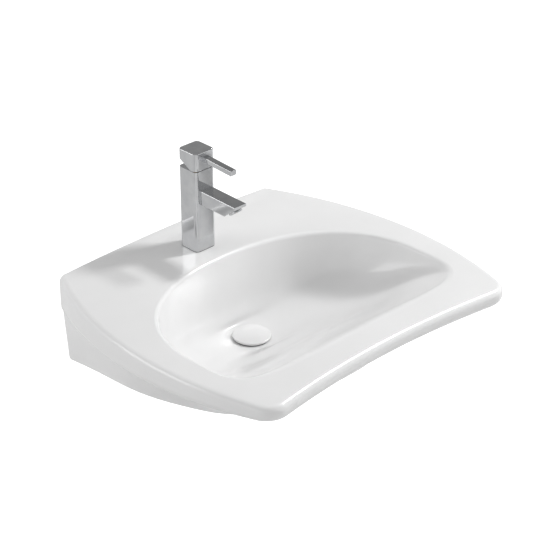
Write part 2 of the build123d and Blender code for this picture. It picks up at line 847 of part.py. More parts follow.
with BuildPart() as cover_holder:
    with BuildSketch(waste_plane(cover_foot)):
        Circle(holder_diameter / 2)
    extrude(amount=-holder_thickness)
    with BuildSketch(waste_plane(cover_foot)):
        Circle(holder_pad / 2)
    extrude(amount=holder_pad_height)
    with BuildSketch(waste_plane(plunger_level)):
        Circle(rod_diameter / 2)
    extrude(amount=cover_foot - plunger_level)
    with BuildSketch(waste_plane(plunger_level)):
        Circle(catch_inner / 2 - plunger_gap)
    extrude(amount=plunger_height)

cover_holder.part.label = "cover_holder"
export_step(cover_holder.part, "parts/cover_holder.step")

# Cover: a domed disc of white china on the holder
with BuildPart() as waste_cover:
    with BuildSketch(waste_section):
        with BuildLine():
            Line((0, cover_foot), (cover_diameter / 2 - cover_round, cover_foot))
            Line(
                (cover_diameter / 2, cover_foot + cover_round),
                (cover_diameter / 2, cover_foot + cover_edge - cover_round),
            )
            ThreePointArc(
                (cover_diameter / 2 - cover_round, cover_foot),
                (cover_diameter / 2 - 0.293 * cover_round, cover_foot + 0.293 * cover_round),
                (cover_diameter / 2, cover_foot + cover_round),
            )
            ThreePointArc(
                (cover_diameter / 2, cover_foot + cover_edge - cover_round),
                (cover_diameter / 2 - 0.4 * cover_round, cover_foot + cover_edge - 0.1 * cover_round),
                (cover_diameter / 2 - 1.3 * cover_round, cover_foot + cover_edge + 0.35),
            )
            Spline(
                (cover_diameter / 2 - 1.3 * cover_round, cover_foot + cover_edge + 0.35),
                (0.45 * cover_diameter / 2, cover_foot + cover_edge + 0.80 * cover_dome),
                (0, cover_foot + cover_edge + cover_dome),
                tangents=((-1, 0.22), (-1, 0)),
            )
            Line((0, cover_foot + cover_edge + cover_dome), (0, cover_foot))
        make_face()
    revolve(axis=waste_axis)
    with BuildSketch(waste_plane(cover_foot)):
        Circle(holder_pad / 2)
    extrude(amount=holder_pad_height, mode=Mode.SUBTRACT)

waste_cover.part.label = "waste_cover"
export_step(waste_cover.part, "parts/waste_cover.step")

with BuildPart() as cover_seal:
    with BuildSketch(waste_plane(cover_foot)):
        Circle(cover_seal_diameter / 2)
        Circle(holder_diameter / 2, mode=Mode.SUBTRACT)
    extrude(amount=slide_gap - cover_gap)
    fillet(cover_seal.faces().sort_by(Axis.Z)[0].edges().sort_by(SortBy.LENGTH)[-1:], 0.5)

cover_seal.part.label = "cover_seal"
export_step(cover_seal.part, "parts/cover_seal.step")

# Waste body: flange, threaded barrel and cross bar
with BuildPart() as waste_body:
    with BuildSketch(waste_section):
        with BuildLine():
            Polyline(
                (flange_mouth / 2, floor_level),
                (flange_diameter / 2, floor_level),
                (flange_diameter / 2, floor_level - flange_thickness),
                (waste_thread / 2, floor_level - flange_thickness),
                (waste_thread / 2, body_end),
                (waste_bore / 2, body_end),
                (waste_bore / 2, floor_level - mouth_depth),
                close=True,
            )
        make_face()
    revolve(axis=waste_axis)
    with BuildSketch(waste_plane(floor_level - bar_drop)):
        Rectangle(waste_bore + 1, bar_width)
        Rectangle(bar_width, waste_bore + 1)
        Circle(catch_outer / 2 + bar_boss)
        Circle(catch_outer / 2, mode=Mode.SUBTRACT)
    extrude(amount=-bar_height)

waste_body.part.label = "waste_body"
export_step(waste_body.part, "parts/waste_body.step")

with BuildPart() as click_barrel:
    with BuildSketch(waste_plane(catch_foot)):
        Circle(catch_outer / 2)
    extrude(amount=catch_length)
    with BuildSketch(waste_plane(catch_foot + catch_floor)):
        Circle(catch_inner / 2)
    extrude(amount=catch_length - 2 * catch_floor, mode=Mode.SUBTRACT)
    with BuildSketch(waste_plane(catch_top)):
        Circle(rod_diameter / 2 + slide_gap)
    extrude(amount=-2 * catch_floor, mode=Mode.SUBTRACT)

click_barrel.part.label = "click_barrel"
export_step(click_barrel.part, "parts/click_barrel.step")

# Spring of the push catch: one wire, wound between the floor of the barrel and the plunger
spring_radius = catch_inner / 2 - slide_gap - spring_wire / 2
spring_room = spring_shut - spring_wire
with BuildPart() as click_spring:
    with BuildLine():
        Helix(pitch=spring_room / spring_turns, height=spring_room, radius=spring_radius,
              center=(0, waste_y, catch_foot + catch_floor + spring_wire / 2))
    with BuildSketch(Plane(origin=(spring_radius, waste_y, catch_foot + catch_floor + spring_wire / 2),
                           x_dir=(1, 0, 0), z_dir=(0, 1, 0))):
        Circle(spring_wire / 2 - 0.02)
    sweep(is_frenet=True)

click_spring.part.label = "click_spring"
export_step(click_spring.part, "parts/click_spring.step")

with BuildPart() as waste_top_seal:
    with BuildSketch(waste_plane(waste_seat)):
        Circle(flange_diameter / 2)
        Circle(waste_thread / 2 + thread_gap, mode=Mode.SUBTRACT)
    extrude(amount=seal_thickness)

waste_top_seal.part.label = "waste_top_seal"
export_step(waste_top_seal.part, "parts/waste_top_seal.step")

with BuildPart() as waste_lower_seal:
    with BuildSketch(waste_section):
        with BuildLine():
            Polyline(
                (waste_thread / 2 + thread_gap, seat_level - lower_seal_height),
                (lower_seal_diameter / 2, seat_level - lower_seal_height),
                (lower_seal_diameter / 2 - 2, seat_level),
                (waste_hole / 2 - slide_gap, seat_level),
                (waste_thread / 2 + thread_gap + 0.5, seat_level + lower_seal_lip),
                (waste_thread / 2 + thread_gap, seat_level + lower_seal_lip),
                close=True,
            )
        make_face()
    revolve(axis=waste_axis)

waste_lower_seal.part.label = "waste_lower_seal"
export_step(waste_lower_seal.part, "parts/waste_lower_seal.step")

washer_level = seat_level - lower_seal_height - washer_height
with BuildPart() as waste_washer:
    with BuildSketch(waste_plane(washer_level)):
        Circle(lower_seal_diameter / 2)
        Circle(waste_thread / 2 + thread_gap, mode=Mode.SUBTRACT)
    extrude(amount=washer_height)

waste_washer.part.label = "waste_washer"
export_step(waste_washer.part, "parts/waste_washer.step")

with BuildPart() as waste_backnut:
    with BuildSketch(waste_plane(washer_level - backnut_height)):
        RegularPolygon(backnut_across / 2, 6, major_radius=False)
        Circle(waste_thread / 2 + thread_gap / 3, mode=Mode.SUBTRACT)
    extrude(amount=backnut_height)
    with BuildSketch(waste_section):
        with BuildLine():
            Polyline(
                (backnut_across / 2, washer_level - backnut_height - 1),
                (backnut_across, washer_level - backnut_height - 1),
                (backnut_across, washer_level + 1),
                (backnut_across / 2 + backnut_height / 2, washer_level + 1),
                (backnut_across / 2 + 3, washer_level - backnut_height + 2),
                close=True,
            )
        make_face()
    revolve(axis=waste_axis, mode=Mode.SUBTRACT)

waste_backnut.part.label = "waste_backnut"
export_step(waste_backnut.part, "parts/waste_backnut.step")

# Tail: a smooth pipe for the trap, with a collar inside the barrel and a flange under it
tail_flange_top = body_end - seal_thickness
with BuildPart() as waste_tail:
    with BuildSketch(waste_section):
        with BuildLine():
            Polyline(
                (tail_diameter / 2 - tail_wall, body_end + tail_collar),
                (waste_bore / 2 - thread_gap / 3, body_end + tail_collar),
                (waste_bore / 2 - thread_gap / 3, tail_flange_top),
                (waste_thread / 2, tail_flange_top),
                (waste_thread / 2, tail_flange_top - flange_thickness),
                (tail_diameter / 2, tail_flange_top - flange_thickness),
                (tail_diameter / 2, body_end - tail_length),
                (tail_diameter / 2 - tail_wall, body_end - tail_length),
                close=True,
            )
        make_face()
    revolve(axis=waste_axis)

waste_tail.part.label = "waste_tail"
export_step(waste_tail.part, "parts/waste_tail.step")

with BuildPart() as waste_tail_seal:
    with BuildSketch(waste_plane(tail_flange_top)):
        Circle(waste_thread / 2)
        Circle(waste_bore / 2, mode=Mode.SUBTRACT)
    extrude(amount=seal_thickness)

waste_tail_seal.part.label = "waste_tail_seal"
export_step(waste_tail_seal.part, "parts/waste_tail_seal.step")
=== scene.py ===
import json
import math

import bmesh
import bpy
import numpy as np
from mathutils import Matrix, Vector

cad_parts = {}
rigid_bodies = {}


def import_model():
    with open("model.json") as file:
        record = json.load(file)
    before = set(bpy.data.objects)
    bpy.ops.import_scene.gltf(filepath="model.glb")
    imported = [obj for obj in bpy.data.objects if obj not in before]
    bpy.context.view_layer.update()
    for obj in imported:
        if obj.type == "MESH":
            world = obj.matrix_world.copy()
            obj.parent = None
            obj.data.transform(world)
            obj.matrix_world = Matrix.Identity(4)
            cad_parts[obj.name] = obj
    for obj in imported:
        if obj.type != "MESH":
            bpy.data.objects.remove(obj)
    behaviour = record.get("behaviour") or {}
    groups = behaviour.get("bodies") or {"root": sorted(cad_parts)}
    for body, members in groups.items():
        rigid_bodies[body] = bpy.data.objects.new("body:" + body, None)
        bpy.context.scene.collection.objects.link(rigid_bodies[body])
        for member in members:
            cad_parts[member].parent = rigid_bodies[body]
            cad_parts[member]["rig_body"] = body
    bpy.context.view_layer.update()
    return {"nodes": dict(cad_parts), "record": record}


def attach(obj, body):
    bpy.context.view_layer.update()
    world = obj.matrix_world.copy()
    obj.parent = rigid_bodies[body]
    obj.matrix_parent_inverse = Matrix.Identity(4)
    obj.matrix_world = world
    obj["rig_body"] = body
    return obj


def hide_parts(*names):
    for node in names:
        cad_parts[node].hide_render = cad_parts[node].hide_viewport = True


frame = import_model()
mm = 0.001
print("frame loaded:", len(frame["nodes"]), "nodes")


# ---- materials: one small function adds a node, and one turns a hex colour into a linear one

def linearColour(hexText):
    channels = [int(hexText[i:i + 2], 16) / 255 for i in (1, 3, 5)]
    return tuple(c / 12.92 if c <= 0.04045 else ((c + 0.055) / 1.055) ** 2.4 for c in channels) + (1.0,)


def addNode(tree, kind, settings=None, inputs=None):
    # a value that is a pair (node, socket name) is linked, anything else is set on the socket
    node = tree.nodes.new(kind)
    for name, value in (settings or {}).items():
        setattr(node, name, value)
    for name, value in (inputs or {}).items():
        if isinstance(value, tuple) and isinstance(value[0], bpy.types.Node):
            tree.links.new(value[0].outputs[value[1]], node.inputs[name])
        else:
            node.inputs[name].default_value = value
    return node


def newMaterial(name, shaderInputs):
    material = bpy.data.materials.new(name)
    material.use_nodes = True
    tree = material.node_tree
    tree.nodes.clear()
    shader = addNode(tree, "ShaderNodeBsdfPrincipled", inputs=shaderInputs)
    output = addNode(tree, "ShaderNodeOutputMaterial")
    tree.links.new(shader.outputs["BSDF"], output.inputs["Surface"])
    place = addNode(tree, "ShaderNodeTexCoord")
    return material, tree, shader, place


def colourBetween(tree, shader, factor, first, second, lowAt=0.35, highAt=0.65):
    # base colour that runs from one hex colour to another along a texture's value
    ramp = addNode(tree, "ShaderNodeValToRGB", inputs={"Fac": factor})
    ramp.color_ramp.elements[0].position = lowAt
    ramp.color_ramp.elements[0].color = linearColour(first)
    ramp.color_ramp.elements[1].position = highAt
    ramp.color_ramp.elements[1].color = linearColour(second)
    tree.links.new(ramp.outputs["Color"], shader.inputs["Base Color"])


def bumpFrom(tree, shader, height, depth, strength=1.0, after=None):
    # depth is in metres
    settings = {"Height": height, "Distance": depth, "Strength": strength}
    if after:
        settings["Normal"] = (after, "Normal")
    bump = addNode(tree, "ShaderNodeBump", inputs=settings)
    tree.links.new(bump.outputs["Normal"], shader.inputs["Normal"])
    return bump


def roughnessBetween(tree, shader, factor, low, high):
    spread = addNode(tree, "ShaderNodeMapRange", inputs={"Value": factor, "To Min": low, "To Max": high})
    tree.links.new(spread.outputs["Result"], shader.inputs["Roughness"])


def noiseAt(tree, place, scale, detail):
    # noise in the piece's own coordinates, as a pair to link
    texture = addNode(tree, "ShaderNodeTexNoise", inputs={
        "Vector": (place, "Object"), "Scale": scale, "Detail": detail})
    return texture, "Fac"


def glazedChina():
    # vitreous china, slip cast and glazed: a near white body under a clear glaze that flows a little,
    # so reflections waver over 20 to 60 mm
    material, tree, shader, place = newMaterial("glazedVitreousChina", {
        "Roughness": 0.38, "IOR": 1.5, "Coat Weight": 0.7, "Coat Roughness": 0.13, "Coat IOR": 1.5})
    colourBetween(tree, shader, noiseAt(tree, place, 9.0, 3.0), "#EBEBEB", "#EEEEEE")
    wave = bumpFrom(tree, shader, noiseAt(tree, place, 22.0, 1.0), 0.00015, 0.25)
    skin = bumpFrom(tree, shader, noiseAt(tree, place, 260.0, 1.0), 0.00002, 0.25, after=wave)
    tree.links.new(skin.outputs["Normal"], shader.inputs["Coat Normal"])
    return material


def bareChina():
    # unglazed china where the basin sat in the kiln and meets the wall: matt, off-white, finely gritty
    material, tree, shader, place = newMaterial("unglazedVitreousChina", {"Roughness": 0.85, "IOR": 1.5})
    grit = noiseAt(tree, place, 900.0, 4.0)
    colourBetween(tree, shader, grit, "#DCDAD4", "#E8E6E1")
    bumpFrom(tree, shader, grit, 0.0001, 0.5)
    return material


def chromePlate():
    # bright chrome over polished brass: a neutral mirror, with a faint swirl of wiping marks in its gloss
    material, tree, shader, place = newMaterial("polishedChromePlate", {
        "Metallic": 1.0, "Base Color": linearColour("#C6C7C9"), "Roughness": 0.06})
    haze = noiseAt(tree, place, 60.0, 5.0)
    colourBetween(tree, shader, haze, "#C2C3C5", "#CBCCCD")
    roughnessBetween(tree, shader, haze, 0.035, 0.085)
    stretch = addNode(tree, "ShaderNodeMapping", inputs={
        "Vector": (place, "Object"), "Scale": (1500.0, 1500.0, 60.0)})
    wipe = addNode(tree, "ShaderNodeTexNoise", inputs={
        "Vector": (stretch, "Vector"), "Scale": 1.0, "Detail": 2.0})
    bumpFrom(tree, shader, (wipe, "Fac"), 0.000002, 0.15)
    return material


def turnedBrass():
    # bare brass, turned: warm yellow with fine rings from the tool
    material, tree, shader, place = newMaterial("turnedBrass", {"Metallic": 1.0, "Roughness": 0.28})
    rings = addNode(tree, "ShaderNodeTexWave", {"wave_type": "BANDS", "bands_direction": "Z"},
                    {"Vector": (place, "Object"), "Scale": 400.0, "Distortion": 0.6, "Detail": 2.0})
    colourBetween(tree, shader, (rings, "Fac"), "#B4924E", "#C9A968", 0.2, 0.8)
    roughnessBetween(tree, shader, (rings, "Fac"), 0.22, 0.36)
    bumpFrom(tree, shader, (rings, "Fac"), 0.00003, 0.4)
    return material


def mouldedRubber():
    # black nitrile rubber, moulded: dull, with a faint dusty bloom
    material, tree, shader, place = newMaterial("mouldedNitrileRubber", {"Roughness": 0.7, "IOR": 1.5})
    bloom = noiseAt(tree, place, 140.0, 6.0)
    colourBetween(tree, shader, bloom, "#1A1A1A", "#2A2A29")
    roughnessBetween(tree, shader, bloom, 0.6, 0.82)
    bumpFrom(tree, shader, bloom, 0.00005, 0.4)
    return material


def mouldedAcetal():
    # natural acetal, injection moulded: milky white, satin, with the fine texture of the mould
    material, tree, shader, place = newMaterial("mouldedAcetal", {
        "Roughness": 0.42, "IOR": 1.48, "Subsurface Weight": 0.15, "Subsurface Scale": 0.002})
    grain = noiseAt(tree, place, 700.0, 3.0)
    colourBetween(tree, shader, grain, "#DADAD4", "#E6E6E1")
    roughnessBetween(tree, shader, grain, 0.36, 0.5)
    bumpFrom(tree, shader, grain, 0.00003, 0.4)
    return material


def lappedAlumina():
    # alumina, sintered and lapped: ivory, nearly a mirror across the face
    material, tree, shader, place = newMaterial("lappedAlumina", {"Roughness": 0.2, "IOR": 1.76})
    grain = addNode(tree, "ShaderNodeTexVoronoi", inputs={"Vector": (place, "Object"), "Scale": 1200.0})
    colourBetween(tree, shader, (grain, "Distance"), "#E4E0D4", "#EDEADF", 0.1, 0.7)
    roughnessBetween(tree, shader, (grain, "Distance"), 0.15, 0.3)
    return material


def platedSteel():
    # mild steel, zinc plated: cool grey with a spangled, slightly cloudy gloss
    material, tree, shader, place = newMaterial("zincPlatedSteel", {"Metallic": 1.0, "Roughness": 0.34})
    spangle = addNode(tree, "ShaderNodeTexVoronoi", inputs={"Vector": (place, "Object"), "Scale": 260.0})
    colourBetween(tree, shader, (spangle, "Distance"), "#9FA3A8", "#B4B8BC", 0.0, 0.8)
    roughnessBetween(tree, shader, (spangle, "Distance"), 0.28, 0.44)
    bumpFrom(tree, shader, (spangle, "Distance"), 0.00002, 0.3)
    return material


chinaBare = bareChina()
slotMaterials = {
    "glazed_china": glazedChina(),
    "chrome_plate": chromePlate(),
    "brass": turnedBrass(),
    "rubber": mouldedRubber(),
    "moulding": mouldedAcetal(),
    "disc_ceramic": lappedAlumina(),
    "steel": platedSteel(),
}
nodeSlots = {part["node"]: part["material_slot"] for part in frame["record"]["subparts"]}
for nodeName, node in frame["nodes"].items():
    node.data.materials.clear()
    node.data.materials.append(slotMaterials[nodeSlots[nodeName]])
print("materials made:", len(slotMaterials) + 1)


# ---- basin: one closed sheet of quads, stations round the plan and rows from the waste hole
# over the bowl, deck, rim and apron, and back underneath

basinSizes = {  # millimetres, in the part's frame
    "deckHeight": 74.0, "backHalf": 254.0, "frontHalf": 283.0, "depth": 577.0, "sideBulge": 62.0,
    "frontHollow": 24.0, "cornerRadius": 38.0, "rimFront": 31.0, "rimBack": 67.0, "rimRoll": 12.0,
    "underRoll": 15.0, "underFillet": 12.0, "edgeRise": 7.0, "edgeEndRise": 0.4, "edgeWidth": 11.0,
    "edgeCove": 18.0, "edgeRound": 1.8,
    "apronStart": 30.0, "apronHeight": 177.0, "footRise": 0.075, "footRoll": 9.0,
    "apronWall": 10.0, "backWall": 15.0, "deckThickness": 17.0,
    "apronTop": (253.0, 290.0, 512.0, 1.0), "apronFoot": (242.0, 240.0, 425.0, 0.86),
    "bowlHalf": 271.0, "bowlBack": 146.0, "bowlWidest": 368.0, "bowlFront": 500.0, "bowlHollow": 14.0,
    "bowlDepth": 134.0, "bowlWall": 11.0, "bowlFlat": 38.5, "bowlBackPower": 2.25, "wasteReach": 223.0,
    "lipBack": 8.0, "lipFront": 30.0, "wasteHole": 23.0, "seatRadius": 32.5, "seatDrop": 3.5,
    "bossRadius": 40.0, "bossDrop": 26.0, "tapHole": 17.5, "tapReach": 83.4,
    "fixingHole": 7.0, "fixingSpacing": 280.0,
    "turnCentre": 250.0,  # the plan's turn is measured round a point this far from the wall
    "wallBlend": 60.0, "leastRoom": 9.0, "soffitRound": 7.0, "wallJoin": 12.0,
    # the bowl's sections from its floor up, as shares of its own sizes:
    # depth below the deck, half width, back, front, widest line, and squareness of the front half
    "bowlSections": (
        (0.925, 0.425, 0.660, 0.235, 0.14, 2.05), (0.776, 0.680, 0.780, 0.405, 0.38, 2.25),
        (0.537, 0.862, 0.870, 0.590, 0.64, 2.6), (0.254, 0.955, 0.940, 0.800, 0.88, 3.4),
        (0.030, 0.994, 0.990, 0.980, 1.00, 4.6), (-0.045, 1.000, 1.005, 1.030, 1.00, 4.6)),
}
basinCounts = {  # stations along the plan, then rows, then rounds of smoothing in the bowl
    "back": 44, "side": 84, "corner": 18, "front": 42, "bowl": 50, "lip": 12, "deck": 18, "under": 26,
    "calmRounds": 26,
}


def smoothStep(value):
    value = np.clip(value, 0.0, 1.0)
    return value * value * (3 - 2 * value)


def cubicThrough(knots, values):
    # natural cubic spline through the knots, as a function
    knots = np.asarray(knots, float)
    values = np.asarray(values, float)
    count = len(knots)
    gaps = np.diff(knots)
    system = np.zeros((count, count))
    right = np.zeros(count)
    system[0, 0] = system[-1, -1] = 1.0
    for k in range(1, count - 1):
        system[k, k - 1:k + 2] = gaps[k - 1], 2 * (gaps[k - 1] + gaps[k]), gaps[k]
        right[k] = 6 * ((values[k + 1] - values[k]) / gaps[k] - (values[k] - values[k - 1]) / gaps[k - 1])
    bend = np.linalg.solve(system, right)

    def evaluate(at):
        at = np.asarray(at, float)
        k = np.clip(np.searchsorted(knots, at) - 1, 0, count - 2)
        gap = gaps[k]
        left = knots[k + 1] - at
        done = at - knots[k]
        return (bend[k] * left ** 3 + bend[k + 1] * done ** 3) / (6 * gap) \
            + (values[k] / gap - bend[k] * gap / 6) * left \
            + (values[k + 1] / gap - bend[k + 1] * gap / 6) * done
    return evaluate


def circleThrough(a, b, c):
    # centre and radius of the circle through three plan points
    rows = np.array([[b[0] - a[0], b[1] - a[1]], [c[0] - a[0], c[1] - a[1]]]) * 2
    sums = np.array([b[0] ** 2 + b[1] ** 2 - a[0] ** 2 - a[1] ** 2,
                     c[0] ** 2 + c[1] ** 2 - a[0] ** 2 - a[1] ** 2])
    centre = np.linalg.solve(rows, sums)
    return centre, float(np.hypot(a[0] - centre[0], a[1] - centre[1]))


def rimStations(s, counts):
    # right half of the rim's plan from the wall to the middle of the front: points and outward normals
    chord = math.hypot(s["depth"], s["frontHalf"] - s["backHalf"])
    lean = np.array([s["depth"], s["frontHalf"] - s["backHalf"]]) / chord
    wallEnd = np.array([s["backHalf"], 0.0])
    cornerEnd = np.array([s["frontHalf"], -s["depth"]])
    middle = (wallEnd + cornerEnd) / 2 + s["sideBulge"] * lean
    sideCentre, sideRadius = circleThrough(wallEnd, middle, cornerEnd)
    frontCentre, frontRadius = circleThrough(
        cornerEnd, (0, s["frontHollow"] - s["depth"]), cornerEnd * (-1, 1))
    inner, outer = sideRadius - s["cornerRadius"], frontRadius + s["cornerRadius"]
    between = frontCentre - sideCentre
    apart = np.linalg.norm(between)
    along = (inner ** 2 - outer ** 2 + apart ** 2) / (2 * apart)
    across = math.sqrt(inner ** 2 - along ** 2)
    base = sideCentre + between * along / apart
    turn = np.array([-between[1], between[0]]) / apart
    corner = max(base + turn * across, base - turn * across, key=lambda point: point[0])
    onSide = sideCentre + (corner - sideCentre) / inner * sideRadius
    onFront = frontCentre + (corner - frontCentre) / outer * frontRadius

    def angleOf(point, centre):
        return math.atan2(point[1] - centre[1], point[0] - centre[0])

    points, normals = [], []
    share = np.linspace(0, 1, counts["side"], endpoint=False) ** 1.15
    first, last = angleOf(wallEnd, sideCentre), angleOf(onSide, sideCentre)
    for angle in first + share * (last - first):
        normals.append((math.cos(angle), math.sin(angle)))
        points.append(sideCentre + sideRadius * np.array(normals[-1]))
    first, last = angleOf(onSide, corner), angleOf(onFront, corner)
    for angle in np.linspace(first, last, counts["corner"], endpoint=False):
        normals.append((math.cos(angle), math.sin(angle)))
        points.append(corner + s["cornerRadius"] * np.array(normals[-1]))
    for angle in np.linspace(angleOf(onFront, frontCentre), math.pi / 2, counts["front"]):
        normals.append((-math.cos(angle), -math.sin(angle)))
        points.append(frontCentre - frontRadius * np.array(normals[-1]))
    return np.array(points), np.array(normals)


def bellyCurve(back, side, reach, full, wall):
    # dense right half of the apron's plan through seven points, drawn in by the wall's thickness
    points = [(back - wall, 0), ((back + side) / 2 + 0.3 * (side - back) - wall, -0.17 * reach),
              (side - wall, -0.45 * reach), ((0.51 + 0.46 * full) * side - wall, -0.70 * reach),
              (0.86 * full * side - wall, -0.89 * reach), (0.50 * full * side, -0.985 * reach + wall),
              (0, wall - reach)]
    points = np.array(points + [(-x, y) for x, y in reversed(points[:-1])], float)
    steps = np.concatenate([[0], np.cumsum(np.linalg.norm(np.diff(points, axis=0), axis=1))])
    fine = np.linspace(0, steps[len(points) // 2], 600)
    return np.stack([cubicThrough(steps, points[:, 0])(fine), cubicThrough(steps, points[:, 1])(fine)], 1)


def spreadAlong(s, curve, shares, startY):
    # points of a half curve at shares of its own turn, from where it passes startY to the front's middle
    keep = curve[curve[:, 1] <= startY + 1e-9]
    crossing = np.array([np.interp(-startY, -curve[:, 1], curve[:, 0]), startY])
    keep = np.vstack([crossing, keep[1:] if abs(keep[0, 1] - startY) < 1e-6 else keep])
    angles = np.arctan2(keep[:, 1] + s["turnCentre"], keep[:, 0])
    wanted = angles[0] + shares * (-math.pi / 2 - angles[0])
    order = np.argsort(angles)
    return np.stack([np.interp(wanted, angles[order], keep[order, k]) for k in (0, 1)], 1)


def bowlShape(s):
    # splines of the bowl's sections along its depth: knot 0 is the flat round the waste
    flat, reach = s["bowlFlat"], s["wasteReach"]
    floor = s["deckHeight"] - s["bowlDepth"]
    rows = [(floor, flat - gap, reach - flat + gap, reach + flat - gap, reach, 2.0)
            for gap in (16.0, 8.0, 0.0)]
    for drop, half, back, front, widest, square in s["bowlSections"]:
        rows.append((s["deckHeight"] - drop * s["bowlDepth"], s["bowlHalf"] * half,
                     reach - back * (reach - s["bowlBack"]), reach + front * (s["bowlFront"] - reach),
                     reach + widest * (s["bowlWidest"] - reach), square))
    rows = np.array(rows)
    steps = np.hypot(np.diff(rows[:, 0]), np.diff(rows[:, 1] + rows[:, 3]) / 2)
    knots = np.concatenate([[0], np.cumsum(steps)])
    knots -= knots[2]
    return knots, [cubicThrough(knots, rows[:, k]) for k in range(6)]


def bowlRing(s, splines, level, angles, wall=0.0):
    # plan points and height of the bowl's section at a level, in the given directions from its widest line
    height, half, back, front, widest, square = (spline(level) for spline in splines)
    across, along = np.cos(angles), np.sin(angles)
    behind = smoothStep(along / 0.25 + 0.5)
    power = s["bowlBackPower"] * behind + square * (1 - behind)
    length = np.where(along >= 0, widest - back, front - widest) + wall
    reach = ((np.abs(across) / (half + wall)) ** power + (np.abs(along) / length) ** power) ** (-1 / power)
    x = across * reach
    y = along * reach
    hollow = s["bowlHollow"] * (half / s["bowlHalf"]) * (1 - (x / (half + wall)) ** 2)
    y = y + hollow * np.clip(-y / length, 0, 1) ** 3
    return np.stack([x, y - widest, np.broadcast_to(height - wall, x.shape)], -1)


def calmed(bowl, rounds):
    # evens out ripples between the bowl's sections, holding its rows at the waste and at the lip
    place = np.arange(len(bowl))
    share = (smoothStep(place / 5) * smoothStep((place[-1] - place) / 12))[1:-1, None, None] / 2
    mirror = np.array([-1.0, 1.0, 1.0])
    for _ in range(rounds):
        wide = np.concatenate([bowl[:, 1:2] * mirror, bowl, bowl[:, -2:-1] * mirror], axis=1)
        mean = (wide[:-2, 1:-1] + wide[2:, 1:-1] + wide[1:-1, :-2] + wide[1:-1, 2:]) / 4
        bowl[1:-1] += share * (mean - bowl[1:-1])
    return bowl


def roundedPath(corners, before, after, arcs, straights):
    # rows along straight runs with rounded corners: for each corner its points, the length its curve takes
    # before and after it, the rows of the curve, and the rows of the straight run that follows
    rows = []
    count = len(corners)
    for k in range(1, count - 1):
        arriving = corners[k] - corners[k - 1]
        leaving = corners[k + 1] - corners[k]
        arriving = arriving / np.maximum(np.linalg.norm(arriving, axis=1, keepdims=True), 1e-9)
        leaving = leaving / np.maximum(np.linalg.norm(leaving, axis=1, keepdims=True), 1e-9)
        start = corners[k] - arriving * before[k][:, None]
        end = corners[k] + leaving * after[k][:, None]
        weight = np.sqrt(np.clip((1 + np.sum(arriving * leaving, axis=1)) / 2, 0.05, 1))[:, None]
        if k > 1:
            for share in np.linspace(0, 1, straights[k - 1] + 2)[1:-1]:
                rows.append(lastEnd * (1 - share) + start * share)
        for share in np.linspace(0, 1, arcs[k]):
            a, b, c = (1 - share) ** 2, 2 * share * (1 - share) * weight, share ** 2
            rows.append((a * start + b * corners[k] + c * end) / (a + b + c))
        lastEnd = end
    return rows


